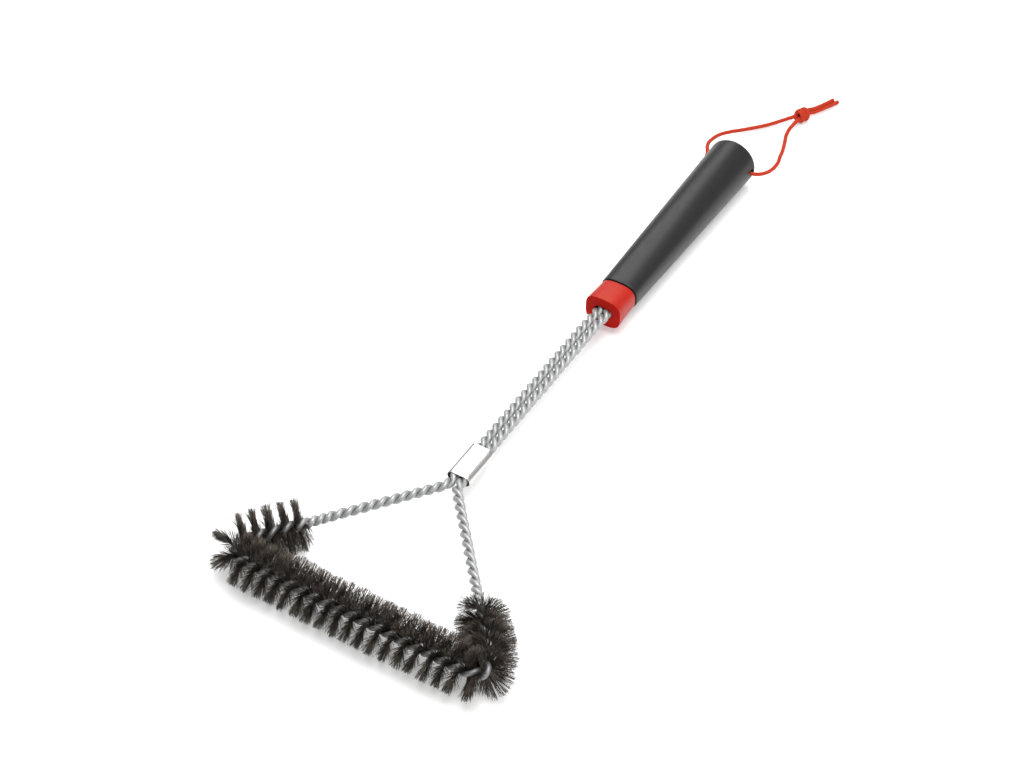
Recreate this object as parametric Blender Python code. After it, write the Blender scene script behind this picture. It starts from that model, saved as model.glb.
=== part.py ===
"""Grill brush: two twisted wires bent into a triangular bristle head, on a moulded handle with a hanging cord.

Units are metres, +Z up. The brush lies as it would on a table: the head at -Y, the handle's tail at +Y.
The origin is on the table under the middle of the brush, without its cord.
"""
import bmesh
import bpy
from math import atan2, ceil, cos, pi, radians, sin, sqrt, tan
from mathutils import Matrix, Vector

MM = 0.001

# Overall
OVERALL_LENGTH = 461 * MM         # bristle tips to the handle's tail
BRISTLE_REACH = 16.2 * MM         # bristle tips to the twisted wires' centre line
AXIS_HEIGHT = BRISTLE_REACH       # the wires' plane, level with the handle's axis
Y_FRONT = -OVERALL_LENGTH / 2
Y_TAIL = OVERALL_LENGTH / 2
Y_BAR = Y_FRONT + BRISTLE_REACH   # front bar of the head

# Wires
WIRE_DIAMETER = 2.8 * MM
TWIST_RADIUS = 1.6 * MM           # a wire's centre to the pair's centre line
TWIST_RADIUS_BRISTLED = 2.05 * MM  # the same where bristles are trapped between the wires
PAIR_SPACING = 5.4 * MM           # between the two pairs' centre lines in the shaft
HALF_TURN_SHAFT = 6.35 * MM
HALF_TURN_ARM = 6.65 * MM
HALF_TURN_TIGHT = 5.0 * MM        # the last turns before the bristles
HALF_TURN_BRISTLED = 8.4 * MM
TIGHT_LENGTH = 14.34 * MM
MIDDLE_PHASE = -pi / 4            # makes the two shaft pairs mesh a quarter turn apart
POINTS_PER_TURN = 7
ARM_ANGLE = radians(39.5)         # each arm to the brush's axis
ARM_APEX_BEHIND_BAR = 110.2 * MM  # where the two arms' centre lines cross
FERRULE_BEND = 15 * MM
CORNER_BEND = 7.5 * MM
END_GAP = 0.3 * MM                # between parts that meet
WIRE_GAP = 0.8 * MM               # along the route, where two stretches of a wire meet

# Bristles
ARM_BRISTLES = 53 * MM            # bristled length of each arm, from the sharp corner
WEB_HALF_THICKNESS = 0.3 * MM     # the filament layer squeezed between the wires
TUFT_HALF_THICKNESS = 1.8 * MM    # at the tips
WEB_HALF_WIDTH = 3.4 * MM
STATIONS_PER_HALF_TURN = 5
INNER_CLEARANCE = 1.2 * MM        # from the inside of a corner's bend

# Ferrule and inner sleeve
FERRULE_LENGTH = 26.2 * MM
FERRULE_BEHIND_APEX = 3.0 * MM    # front rim of the ferrule to the arms' apex
FERRULE_HALF_WIDTH = 7.3 * MM
FERRULE_HALF_HEIGHT = 3.75 * MM
FERRULE_WALL = 0.6 * MM

# Handle and collar
Y_COLLAR = 61 * MM                # the collar's front face
Y_SEAM = 80.5 * MM                # the collar's back, where the black sleeve begins
SEAM_GAP = 0.6 * MM
SEAM_HALF_WIDTH = 12.4 * MM
SEAM_HALF_HEIGHT = 9.3 * MM
TAIL_RADIUS = AXIS_HEIGHT
SEAM_SQUARENESS = 2.8             # superellipse exponent, 2 is an ellipse
COLLAR_HALF_WIDTH = 12.6 * MM     # the collar flares towards its front face
COLLAR_HALF_HEIGHT = 11.1 * MM
COLLAR_SQUARENESS = 3.2
TAIL_ROUNDING = 2.5 * MM
HANDLE_WALL = 2.6 * MM
CAVITY_END = 212 * MM
HOLE_FROM_TAIL = 5.5 * MM
HOLE_DIAMETER = 5 * MM
Y_HOLE = Y_TAIL - HOLE_FROM_TAIL
COLLAR_INSET = 0.5 * MM           # the collar is a little slimmer than the sleeve's rim
COLLAR_ROUNDING = 1.2 * MM
TENON_LENGTH = 12 * MM
TENON_CLEARANCE = 0.3 * MM
SLOT_HALF_WIDTH = 6.3 * MM
SLOT_HALF_HEIGHT = 3.6 * MM
INNER_SLEEVE_LENGTH = 9 * MM
WIRE_END = Y_SEAM + TENON_LENGTH + INNER_SLEEVE_LENGTH + 1.5 * MM
SECTION_POINTS = 40

# Hanging cord
CORD_DIAMETER = 2.3 * MM
CORD_STEP = 2.6 * CORD_DIAMETER
KNOT_CENTRE = Vector((11.3, 306.8, 5.3)) * MM
KNOT_RADII = Vector((5.3, 4.6, 5.1)) * MM
LEFT_LEG = [(-0.15, 224.4, 15.6), (-8, 224.4, 15.6), (-14, 224.5, 15.6), (-17.2, 225.7, 15.4), (-18.9, 228.2, 14.6),
            (-19.5, 231.2, 13.5), (-20.4, 235.2, 12.1), (-23.2, 239.6, 10.7), (-26.0, 246.8, 8.9),
            (-25.1, 257.4, 6.9), (-21.4, 265.9, 5.2), (-15.0, 275.1, 3.6), (-5.1, 287.7, 2.8),
            (2.6, 297.7, 3.6), (5.7, 301.3, 4.3), (6.9, 302.6, 4.6)]
RIGHT_LEG = [(0.15, 224.4, 15.6), (8, 224.4, 15.6), (14, 224.4, 15.6), (17.8, 225.2, 15.5), (21.3, 227.8, 15.2),
             (24.0, 233.0, 14.5), (24.8, 240.2, 13.4), (23.9, 247.4, 12.2), (21.9, 254.3, 11.0), (20.0, 261.7, 9.8),
             (16.1, 272.9, 8.0), (13.4, 279.9, 6.8), (11.7, 286.9, 5.7), (11.1, 293.0, 5.0), (11.4, 301.2, 4.5)]
LEFT_TAIL = [(12.0, 312.0, 5.9), (14.4, 318.2, 5.3), (17.1, 324.9, 4.4), (21.3, 334.9, 3.2)]
RIGHT_TAIL = [(13.9, 311.6, 4.0), (15.9, 316.9, 3.5), (19.1, 324.4, 2.8), (24.8, 336.2, 1.8)]


def start_scene():
    """Remove every object and make one collection for the parts and one for the cutters."""
    for thing in list(bpy.data.objects):
        bpy.data.objects.remove(thing, do_unlink=True)
    parts = bpy.data.collections.new("grill_brush")
    cutters = bpy.data.collections.new("cutters")
    for collection in (parts, cutters):
        bpy.context.scene.collection.children.link(collection)
    return parts, cutters


PARTS, CUTTERS = start_scene()


def material(name, colour, roughness, metallic):
    """A Principled material."""
    made = bpy.data.materials.new(name)
    made.use_nodes = True
    shader = made.node_tree.nodes["Principled BSDF"]
    shader.inputs["Base Color"].default_value = (*colour, 1)
    shader.inputs["Roughness"].default_value = roughness
    shader.inputs["Metallic"].default_value = metallic
    return made


STEEL_WIRE = material("galvanised_wire", (0.55, 0.56, 0.56), 0.38, 1.0)
POLISHED = material("polished_steel", (0.78, 0.77, 0.76), 0.12, 1.0)
FILAMENTS = material("bristle_steel", (0.045, 0.038, 0.032), 0.45, 0.6)
RED_PLASTIC = material("red_plastic", (0.62, 0.045, 0.025), 0.42, 0.0)
BLACK_PLASTIC = material("black_plastic", (0.035, 0.034, 0.035), 0.5, 0.0)
CORD_BRAID = material("cord_braid", (0.66, 0.07, 0.03), 0.75, 0.0)


def empty(name, location):
    """A placing frame; it is not a part."""
    frame = bpy.data.objects.new(name, None)
    frame.location = location
    PARTS.objects.link(frame)
    return frame


BRUSH_AXIS = empty("brush_axis", (0, 0, AXIS_HEIGHT))
LOOP_PIVOT = empty("hang_loop_pivot", (0, Y_HOLE, AXIS_HEIGHT))
BRUSH_AXIS.matrix_world = Matrix.Translation((0, 0, AXIS_HEIGHT))
LOOP_PIVOT.matrix_world = Matrix.Translation((0, Y_HOLE, AXIS_HEIGHT))


def add_object(name, data, finish, parent=None, collection=PARTS):
    """Link an object and give it its material."""
    made = bpy.data.objects.new(name, data)
    collection.objects.link(made)
    if finish:
        data.materials.append(finish)
    if parent:
        made.parent = parent
    if collection is CUTTERS:
        made.hide_render = True
        made.display_type = "WIRE"
    return made


def loft(name, rings, finish=None, parent=None, collection=PARTS):
    """A closed solid through rings of points that all have the same number of points."""
    mesh = bmesh.new()
    loops = [[mesh.verts.new(point) for point in ring] for ring in rings]
    count = len(rings[0])
    for near, far in zip(loops, loops[1:]):
        for i in range(count):
            j = (i + 1) % count
            mesh.faces.new((near[i], near[j], far[j], far[i]))
    mesh.faces.new(loops[0])
    mesh.faces.new(loops[-1])
    bmesh.ops.recalc_face_normals(mesh, faces=mesh.faces)
    data = bpy.data.meshes.new(name)
    mesh.to_mesh(data)
    mesh.free()
    data.shade_smooth()
    data.set_sharp_from_angle(angle=radians(35))
    return add_object(name, data, finish, parent, collection)


def tube(name, points, diameter, resolution, finish, parent):
    """A round wire or cord along points, closed at both ends."""
    data = bpy.data.curves.new(name, "CURVE")
    data.dimensions = "3D"
    data.bevel_depth = diameter / 2
    data.bevel_resolution = resolution
    data.use_fill_caps = True
    spline = data.splines.new("POLY")
    spline.points.add(len(points) - 1)
    for place, point in zip(spline.points, points):
        place.co = (*point, 1)
    spline.use_smooth = True
    return add_object(name, data, finish, parent)


def cut(target, cutter):
    """Subtract a closed mesh from another one."""
    step = target.modifiers.new("cut_" + cutter.name, "BOOLEAN")
    step.operation = "DIFFERENCE"
    step.solver = "EXACT"
    step.object = cutter


# The wires' route: straight stretches and bends in the brush's plane

class Route:
    """Centre line of the twisted pair, as points of a polygon with rounded corners."""

    def __init__(self, corners, bends):
        corners = [Vector(c).to_3d() for c in corners]
        self.pieces = []          # (start length, length, kind, values)
        self.length = 0.0
        here = corners[0]
        for before, corner, after, bend in zip(corners, corners[1:], corners[2:], bends):
            into = (corner - before).normalized()
            out = (after - corner).normalized()
            turn = into.angle(out)
            reach = bend * tan(turn / 2)
            start = corner - into * reach
            self.add_line(here, start)
            side = 1 if into.cross(out).z > 0 else -1
            self.pieces.append((self.length, bend * turn, "bend", (start, into, side, bend)))
            self.length += bend * turn
            here = corner + out * reach
        self.add_line(here, corners[-1])

    def add_line(self, start, end):
        """Append a straight stretch."""
        size = (end - start).length
        self.pieces.append((self.length, size, "line", (start, (end - start).normalized())))
        self.length += size

    def at(self, s):
        """Point and direction at length s from the route's start."""
        for start, size, kind, values in self.pieces:
            if s <= start + size:
                break
        t = s - start
        if kind == "line":
            origin, along = values
            return origin + along * t, along
        origin, along, side, bend = values
        normal = Vector((-along.y, along.x, 0)) * side
        angle = t / bend
        point = origin + along * (bend * sin(angle)) + normal * (bend * (1 - cos(angle)))
        return point, along * cos(angle) + normal * sin(angle)


Y_APEX = Y_BAR + ARM_APEX_BEHIND_BAR
X_CORNER = ARM_APEX_BEHIND_BAR * tan(ARM_ANGLE)
HALF_PAIR = PAIR_SPACING / 2
Y_BEND = Y_APEX - HALF_PAIR / tan(ARM_ANGLE)
ROUTE = Route([(-HALF_PAIR, WIRE_END), (-HALF_PAIR, Y_BEND), (-X_CORNER, Y_BAR),
               (X_CORNER, Y_BAR), (HALF_PAIR, Y_BEND), (HALF_PAIR, WIRE_END)],
              [FERRULE_BEND, CORNER_BEND, CORNER_BEND, FERRULE_BEND])
MIDDLE = ROUTE.length / 2
CORNER_TURN = pi / 2 + ARM_ANGLE
CORNER_REACH = CORNER_BEND * tan(CORNER_TURN / 2)
BAR_HALF = X_CORNER - CORNER_REACH                       # straight half of the front bar
CORNER_LENGTH = CORNER_BEND * CORNER_TURN
BRISTLE_END = BAR_HALF + CORNER_LENGTH + ARM_BRISTLES - CORNER_REACH
TIGHT_END = BRISTLE_END + TIGHT_LENGTH
FERRULE_FRONT = MIDDLE - (WIRE_END - (Y_APEX + FERRULE_BEHIND_APEX))
TWIST_ZONES = [(BRISTLE_END, HALF_TURN_BRISTLED), (TIGHT_END, HALF_TURN_TIGHT),
               (FERRULE_FRONT, HALF_TURN_ARM), (MIDDLE + END_GAP, HALF_TURN_SHAFT)]


def phase(s):
    """Angle of the twist at length s; it falls along the route, which is a left-hand twist."""
    rest = abs(s - MIDDLE)
    done = 0.0
    turns = 0.0
    for end, half_turn in TWIST_ZONES:
        step = min(rest, end) - done
        if step > 0:
            turns += step / half_turn
            done += step
    return MIDDLE_PHASE - pi * turns * (1 if s > MIDDLE else -1)


def twist_radius(s):
    """A wire's distance from the centre line; it eases out where the bristles begin."""
    ease = min(max((BRISTLE_END + END_GAP - abs(s - MIDDLE)) / HALF_TURN_TIGHT + 1, 0), 1)
    return TWIST_RADIUS + (TWIST_RADIUS_BRISTLED - TWIST_RADIUS) * ease


def across(along, angle):
    """Unit vector square to the route at an angle from the route's left side towards +Z."""
    left = Vector((-along.y, along.x, 0))
    return left * cos(angle) + Vector((0, 0, 1)) * sin(angle)


def length_at_turn(start, end):
    """Lengths between start and end, POINTS_PER_TURN to every turn of the twist."""
    count = max(2, ceil(abs(phase(end) - phase(start)) / (2 * pi) * POINTS_PER_TURN))
    fine = [start + (end - start) * i / (count * 8) for i in range(count * 8 + 1)]
    wanted = [phase(start) + (phase(end) - phase(start)) * i / count for i in range(count + 1)]
    return [min(fine, key=lambda s: abs(phase(s) - angle)) for angle in wanted]


def wire(name, start, end, half):
    """One of the two wires along a stretch of the route; half is 0 for strand a and 1 for strand b."""
    points = []
    for s in length_at_turn(start, end):
        centre, along = ROUTE.at(s)
        points.append(centre + across(along, phase(s) + half * pi) * twist_radius(s))
    return tube(name, points, WIRE_DIAMETER, 1, STEEL_WIRE, BRUSH_AXIS)


def make_wires():
    """Both strands, each in five stretches that meet at the ferrule and in the middle of the corners."""
    shaft = MIDDLE - FERRULE_FRONT
    corner = MIDDLE - BAR_HALF - CORNER_LENGTH / 2
    cuts = [0, shaft, corner, ROUTE.length - corner, ROUTE.length - shaft, ROUTE.length]
    names = ["shaft_wire_left", "arm_wire_left", "bar_wire", "arm_wire_right", "shaft_wire_right"]
    for name, start, end in zip(names, cuts, cuts[1:]):
        for half, letter in enumerate("ab"):
            wire(f"{name}_{letter}", start + WIRE_GAP / 2, end - WIRE_GAP / 2, half)


def inner_limit(s):
    """How far bristles may reach towards the inside of the frame before they meet the next side's bristles."""
    beyond = abs(s - MIDDLE)
    if beyond < BAR_HALF:
        t = BAR_HALF - beyond
    elif beyond < BAR_HALF + CORNER_LENGTH:
        t = 0
    else:
        t = beyond - BAR_HALF - CORNER_LENGTH
    return CORNER_BEND - INNER_CLEARANCE + t * tan((pi - CORNER_TURN) / 2)


def bristle_ring(s):
    """Section of the bristle band: a thin web between the wires that fans out to a tuft on both sides."""
    centre, along = ROUTE.at(s)
    angle = phase(s) + pi / 2
    out = across(along, angle)
    thick = across(along, angle + pi / 2)
    inside = Vector((-along.y, along.x, 0))
    ends = []
    for side in (1, -1):
        inward = side * out.dot(inside)
        reach = sqrt(BRISTLE_REACH ** 2 - TUFT_HALF_THICKNESS ** 2)
        if inward > 0:
            reach = min(reach, inner_limit(s) / inward)
        ends.append(reach)
    points = []
    for u, v in ((ends[0], 1), (WEB_HALF_WIDTH, 0), (-WEB_HALF_WIDTH, 0), (-ends[1], 1),
                 (-ends[1], -1), (-WEB_HALF_WIDTH, 0), (WEB_HALF_WIDTH, 0), (ends[0], -1)):
        half = TUFT_HALF_THICKNESS * abs(v) * min(1, abs(u) / BRISTLE_REACH + 0.2) or WEB_HALF_THICKNESS
        sign = v if v else (1 if len(points) < 4 else -1)
        points.append(centre + out * u + thick * (half * sign))
    return points


def make_bristles():
    """The run of bristles in five stretches: arm, corner, front bar, corner, arm."""
    edges = [BRISTLE_END, BAR_HALF + CORNER_LENGTH, BAR_HALF]
    cuts = [MIDDLE - e for e in edges] + [MIDDLE + e for e in reversed(edges)]
    names = ["bristles_left_arm", "bristles_left_corner", "bristles_front_bar",
             "bristles_right_corner", "bristles_right_arm"]
    for name, start, end in zip(names, cuts, cuts[1:]):
        start, end = start + END_GAP / 2, end - END_GAP / 2
        count = ceil((end - start) / HALF_TURN_BRISTLED * STATIONS_PER_HALF_TURN)
        rings = [bristle_ring(start + (end - start) * i / count) for i in range(count + 1)]
        loft(name, rings, FILAMENTS, BRUSH_AXIS)


# Pressed sleeves: flattened tubes with straight top and bottom and round sides

def stadium(half_width, half_height, points=18):
    """Outline with round ends, in X and Z."""
    flat = half_width - half_height
    ring = []
    for i in range(points):
        angle = -pi / 2 + pi * i / (points - 1)
        ring.append((flat + half_height * cos(angle), half_height * sin(angle)))
    return ring + [(-x, -z) for x, z in ring]


def prism(name, outline, start, end, finish=None, parent=None, collection=PARTS):
    """An outline in X and Z, drawn out along Y."""
    return loft(name, [[(x, y, z) for x, z in outline] for y in (start, end)], finish, parent, collection)


def pressed_sleeve(name, start, length, finish):
    """A flattened tube round the two twisted pairs."""
    sleeve = prism(name, stadium(FERRULE_HALF_WIDTH, FERRULE_HALF_HEIGHT), start, start + length, finish, BRUSH_AXIS)
    inside = stadium(FERRULE_HALF_WIDTH - FERRULE_WALL, FERRULE_HALF_HEIGHT - FERRULE_WALL)
    cut(sleeve, prism(name + "_bore", inside, start - MM, start + length + MM, None, BRUSH_AXIS, CUTTERS))


# Handle

def section(half_width, half_height, squareness):
    """Superellipse in X and Z."""
    ring = []
    for i in range(SECTION_POINTS):
        angle = 2 * pi * (i + 0.5) / SECTION_POINTS
        c, s = cos(angle), sin(angle)
        x = abs(c) ** (2 / squareness) * (1 if c > 0 else -1)
        z = abs(s) ** (2 / squareness) * (1 if s > 0 else -1)
        ring.append((x * half_width, z * half_height))
    return ring


def handle_section(y, inset):
    """The section of the handle, or of the collar in front of the seam, at y, moved inwards by inset."""
    t = min(max((y - Y_SEAM) / (Y_TAIL - Y_SEAM), 0), 1)
    flare = min(max((Y_SEAM - y) / (Y_SEAM - Y_COLLAR), 0), 1)
    half_width = SEAM_HALF_WIDTH + (TAIL_RADIUS - SEAM_HALF_WIDTH) * t + (COLLAR_HALF_WIDTH - SEAM_HALF_WIDTH) * flare
    half_height = (SEAM_HALF_HEIGHT + (TAIL_RADIUS - SEAM_HALF_HEIGHT) * t
                   + (COLLAR_HALF_HEIGHT - SEAM_HALF_HEIGHT) * flare)
    squareness = 2 + (SEAM_SQUARENESS - 2) * (1 - t) ** 1.5 + (COLLAR_SQUARENESS - SEAM_SQUARENESS) * flare
    return [(x, y, z) for x, z in section(half_width - inset, half_height - inset, squareness)]


def rounded_end(y_end, rounding, inset, direction, steps=3):
    """Rings that round an end over; direction is +1 towards +Y."""
    rings = []
    for i in range(steps + 1):
        angle = pi / 2 * i / steps
        y = y_end - direction * rounding * (1 - sin(angle))
        rings.append(handle_section(y, inset + rounding * (1 - cos(angle))))
    return rings


def make_handle():
    """Black sleeve: hollow from the collar's side, solid at the tail, with a cross hole for the cord."""
    front = Y_SEAM + SEAM_GAP
    stations = 8
    body = [handle_section(front + (Y_TAIL - TAIL_ROUNDING - front) * i / stations, 0) for i in range(stations)]
    sleeve = loft("handle_sleeve", body + rounded_end(Y_TAIL, TAIL_ROUNDING, 0, 1), BLACK_PLASTIC, BRUSH_AXIS)
    hollow = [handle_section(y, HANDLE_WALL) for y in (Y_SEAM - MM, (Y_SEAM + CAVITY_END) / 2, CAVITY_END)]
    cut(sleeve, loft("handle_hollow", hollow, None, BRUSH_AXIS, CUTTERS))
    bpy.ops.mesh.primitive_cylinder_add(vertices=20, radius=HOLE_DIAMETER / 2, depth=4 * TAIL_RADIUS,
                                        location=(0, Y_HOLE, AXIS_HEIGHT), rotation=(0, pi / 2, 0))
    hole = bpy.context.object
    hole.name = "cord_hole"
    hole.hide_render = True
    hole.display_type = "WIRE"
    for collection in list(hole.users_collection):
        collection.objects.unlink(hole)
    CUTTERS.objects.link(hole)
    cut(sleeve, hole)


def make_collar():
    """Red collar with a tenon that plugs into the sleeve and a slot for the two twisted pairs."""
    front = list(reversed(rounded_end(Y_COLLAR, COLLAR_ROUNDING, COLLAR_INSET, -1)))
    back = [handle_section(Y_SEAM, COLLAR_INSET)]
    collar = loft("collar", front + back, RED_PLASTIC, BRUSH_AXIS)
    tenon_inset = HANDLE_WALL + TENON_CLEARANCE
    rings = [handle_section(y, tenon_inset) for y in (Y_SEAM - MM, Y_SEAM, Y_SEAM + TENON_LENGTH)]
    tenon = loft("collar_tenon", rings, None, BRUSH_AXIS, CUTTERS)
    join = collar.modifiers.new("tenon", "BOOLEAN")
    join.operation = "UNION"
    join.solver = "EXACT"
    join.object = tenon
    slot = stadium(SLOT_HALF_WIDTH, SLOT_HALF_HEIGHT)
    cut(collar, prism("wire_slot", slot, Y_COLLAR - MM, Y_SEAM + TENON_LENGTH + MM, None, BRUSH_AXIS, CUTTERS))


# Hanging cord

def smooth_route(points, step):
    """Points a step apart along a smooth curve through the given points, in millimetres."""
    points = [Vector(p) * MM for p in points]
    padded = [points[0] * 2 - points[1]] + points + [points[-1] * 2 - points[-2]]
    fine = []
    for a, b, c, d in zip(padded, padded[1:], padded[2:], padded[3:]):
        for i in range(20):
            t = i / 20
            fine.append(0.5 * (2 * b + (c - a) * t + (2 * a - 5 * b + 4 * c - d) * t ** 2
                               + (3 * b - a - 3 * c + d) * t ** 3))
    fine.append(points[-1])
    lengths = [0.0]
    for a, b in zip(fine, fine[1:]):
        lengths.append(lengths[-1] + (b - a).length)
    count = ceil(lengths[-1] / step)
    wanted = [lengths[-1] * i / count for i in range(count + 1)]
    return [fine[min(range(len(fine)), key=lambda k: abs(lengths[k] - w))] for w in wanted]


def make_cord():
    """The cord's two legs, its knot and its two tails, about the cross hole's axis."""
    pivot = Vector((0, Y_HOLE, AXIS_HEIGHT))
    routes = {"hang_cord_left": LEFT_LEG, "hang_cord_right": RIGHT_LEG,
              "hang_cord_tail_left": LEFT_TAIL, "hang_cord_tail_right": RIGHT_TAIL}
    for name, points in routes.items():
        route = [p - pivot for p in smooth_route(points, CORD_STEP)]
        tube(name, route, CORD_DIAMETER, 2, CORD_BRAID, LOOP_PIVOT)
    mesh = bmesh.new()
    bmesh.ops.create_uvsphere(mesh, u_segments=16, v_segments=10, radius=1)
    bmesh.ops.scale(mesh, vec=KNOT_RADII, verts=mesh.verts)
    data = bpy.data.meshes.new("hang_cord_knot")
    mesh.to_mesh(data)
    mesh.free()
    data.shade_smooth()
    knot = add_object("hang_cord_knot", data, CORD_BRAID, LOOP_PIVOT)
    knot.location = KNOT_CENTRE - pivot
    lean = RIGHT_TAIL[-1][0] + LEFT_TAIL[-1][0] - 2 * KNOT_CENTRE.x / MM
    ahead = RIGHT_TAIL[-1][1] + LEFT_TAIL[-1][1] - 2 * KNOT_CENTRE.y / MM
    knot.rotation_euler = (0, 0, -atan2(lean, ahead))


make_wires()
make_bristles()
pressed_sleeve("ferrule", Y_APEX + FERRULE_BEHIND_APEX, FERRULE_LENGTH, POLISHED)
pressed_sleeve("wire_end_sleeve", Y_SEAM + TENON_LENGTH + END_GAP, INNER_SLEEVE_LENGTH, POLISHED)
make_handle()
make_collar()
make_cord()
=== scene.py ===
"""Grill cleaning brush: its looks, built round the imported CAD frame.

Metres, +Z up. The brush lies on the floor with its head at -Y and its handle's tail at +Y.
"""
from math import ceil, cos, pi, radians, sin, sqrt, tan

import bpy
import numpy as np
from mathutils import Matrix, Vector


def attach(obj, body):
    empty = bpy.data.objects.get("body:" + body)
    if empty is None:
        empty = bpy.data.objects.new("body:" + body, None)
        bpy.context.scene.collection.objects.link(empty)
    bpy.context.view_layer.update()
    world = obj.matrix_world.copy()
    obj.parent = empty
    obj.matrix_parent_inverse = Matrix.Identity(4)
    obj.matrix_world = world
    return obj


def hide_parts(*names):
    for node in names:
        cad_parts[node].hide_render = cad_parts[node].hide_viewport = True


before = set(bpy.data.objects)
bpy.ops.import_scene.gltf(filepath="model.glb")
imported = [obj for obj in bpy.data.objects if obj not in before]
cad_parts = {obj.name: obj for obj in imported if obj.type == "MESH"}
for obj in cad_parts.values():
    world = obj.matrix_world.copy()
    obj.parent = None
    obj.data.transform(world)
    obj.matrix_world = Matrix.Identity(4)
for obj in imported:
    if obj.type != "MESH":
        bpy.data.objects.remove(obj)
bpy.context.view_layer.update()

MM = 0.001
SEED = 7

# The camera stands where the photograph's stood
CAMERA_AZIMUTH = radians(31.76)
CAMERA_ELEVATION = radians(45.35)
CAMERA_DISTANCE = 1.432
CAMERA_TARGET = Vector((-14.6, -20.2, 16.2)) * MM
CAMERA_LENS = 85.15               # mm on a 36 mm sensor

# The brush. The wires, the pairs' spacing and the ferrule are a little larger than in the CAD,
# and the shaft's shift and the head's lean are only here: the photograph shows them so.
AXIS_HEIGHT = 16.2 * MM
Y_TAIL = 230.5 * MM
Y_BAR = -214.3 * MM
WIRE_DIAMETER = 3.2 * MM
TWIST_RADIUS = 1.61 * MM
TWIST_RADIUS_BRISTLED = 2.05 * MM
PAIR_SPACING = 5.8 * MM
SHAFT_SHIFT = -0.5 * MM           # the shaft isn't quite in the middle of the collar
SHIFT_EASE = 20 * MM
HALF_TURN_SHAFT = 6.35 * MM
HALF_TURN_ARM = 6.65 * MM
HALF_TURN_TIGHT = 5.0 * MM
HALF_TURN_BRISTLED = 8.4 * MM
TIGHT_LENGTH = 14.34 * MM
WIRES_CLOSE = 3.5 * MM            # how far inside the bristles' end the wires start to close up
MIDDLE_PHASE = -pi / 4
ARM_ANGLE = radians(39.5)
ARM_APEX_BEHIND_BAR = 110.2 * MM
FERRULE_BEND = 10 * MM
HEAD_LEAN = 0.0485                # the hand-bent head leans a little to +X, as in the photograph
LEAN_EASE = 6 * MM
CORNER_BEND = 7.5 * MM
ARM_BRISTLES = 53 * MM
BRISTLE_REACH = 16.1 * MM
FERRULE_LENGTH = 26.2 * MM
FERRULE_BEHIND_APEX = 3.0 * MM
FERRULE_HALF_WIDTH = 7.8 * MM
FERRULE_HALF_HEIGHT = 3.6 * MM
FERRULE_WALL = 0.45 * MM
FERRULE_PINCH = 0.10 * MM         # how much the ferrule is squeezed at its middle
Y_COLLAR = 61 * MM
Y_SEAM = 80.5 * MM
SEAM_GAP = 0.6 * MM
SEAM_HALF_WIDTH = 12.4 * MM
SEAM_HALF_HEIGHT = 9.3 * MM
SEAM_SQUARENESS = 2.8
COLLAR_HALF_WIDTH = 12.6 * MM
COLLAR_HALF_HEIGHT = 11.1 * MM
COLLAR_SQUARENESS = 3.2
TAIL_RADIUS = AXIS_HEIGHT
TAIL_ROUNDING = 2.5 * MM
HANDLE_WALL = 2.6 * MM
HOLE_DIAMETER = 5 * MM
Y_HOLE = 225 * MM
COLLAR_INSET = 0.5 * MM
TENON_LENGTH = 12 * MM
WIRE_END = Y_SEAM + TENON_LENGTH + 10 * MM

# The cord's route, leg and tail, in millimetres; a few points differ slightly from the CAD's
CORD_DIAMETER = 2.3 * MM
KNOT_CENTRE = Vector((11.3, 306.8, 5.3)) * MM
LEFT_LEG = [(-0.15, 224.4, 15.6), (-8, 224.4, 15.6), (-14, 224.5, 15.6), (-17.2, 225.6, 15.0),
            (-18.5, 228.2, 13.5),
            (-19.8, 231.4, 11.9), (-21.8, 235.3, 11.3), (-24.3, 239.9, 10.4), (-26.0, 246.8, 8.9),
            (-25.1, 257.4, 6.9), (-21.4, 265.9, 5.2), (-15.0, 275.1, 3.6), (-5.1, 287.7, 2.8),
            (2.6, 297.7, 3.6), (5.7, 301.3, 4.3), (6.9, 302.6, 4.6)]
RIGHT_LEG = [(0.15, 224.4, 15.6), (8, 224.4, 15.6), (14, 224.4, 15.6), (17.8, 225.2, 15.5),
             (21.3, 227.8, 15.2), (24.0, 233.0, 14.5), (24.8, 240.2, 13.4), (23.9, 247.4, 12.2),
             (21.9, 254.3, 11.0), (20.0, 261.7, 9.8), (16.1, 272.9, 8.0), (13.4, 279.9, 6.8),
             (11.7, 286.9, 5.7), (11.1, 293.0, 5.0), (11.4, 301.2, 4.5)]
LEFT_TAIL = [(12.0, 312.0, 5.9), (15.4, 317.5, 5.3), (18.0, 324.3, 4.4), (21.3, 334.9, 3.2)]
RIGHT_TAIL = [(13.6, 311.6, 4.2), (16.6, 316.2, 3.7), (19.7, 323.8, 3.0), (24.3, 336.2, 1.9)]


def add_camera():
    """The photograph's view."""
    data = bpy.data.cameras.new("photo_camera")
    data.lens = CAMERA_LENS
    data.sensor_width = 36
    data.clip_start = 0.01
    data.clip_end = 20
    camera = bpy.data.objects.new("photo_camera", data)
    bpy.context.scene.collection.objects.link(camera)
    back = Vector((sin(CAMERA_AZIMUTH) * cos(CAMERA_ELEVATION), -cos(CAMERA_AZIMUTH) * cos(CAMERA_ELEVATION),
                   sin(CAMERA_ELEVATION)))
    camera.location = CAMERA_TARGET + back * CAMERA_DISTANCE
    camera.rotation_euler = back.to_track_quat("Z", "Y").to_euler()
    bpy.context.scene.camera = camera


add_camera()


# Mesh building

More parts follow.
